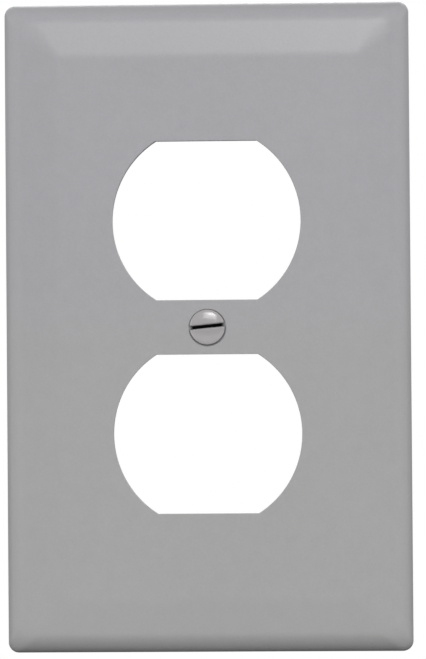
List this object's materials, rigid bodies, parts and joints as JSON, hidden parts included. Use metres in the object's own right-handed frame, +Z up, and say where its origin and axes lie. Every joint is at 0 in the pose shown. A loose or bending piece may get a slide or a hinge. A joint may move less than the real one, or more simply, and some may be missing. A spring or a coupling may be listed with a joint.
{
  "type": "duplex receptacle wall plate",
  "caption": "Duplex receptacle cover plate with a bevelled border, flat-sided round outlet openings and a slotted oval-head screw in a countersunk hole.",
  "frame": {"origin": "on the screw's axis, in the plane of the wall that the rim rests on", "axes": "+Z up along the plate's height, +X to the right seen from the front, +Y into the wall; the front faces -Y"},
  "size_m": [0.0744, 0.0133, 0.119],
  "materials": {
    "grey_nylon": "satin, finely textured",
    "painted_steel": "semi-gloss enamel on the head, zinc on the thread"
  },
  "bodies": {
    "plate": {"wall_plate": "grey_nylon"},
    "screw": {"plate_screw": "painted_steel"}
  },
  "joints": [
    {"name": "screw_turn", "type": "hinge", "parent": "plate", "child": "screw", "pos_m": [0, 0, 0], "axis": [0, 1, 0], "continuous": true}
  ]
}
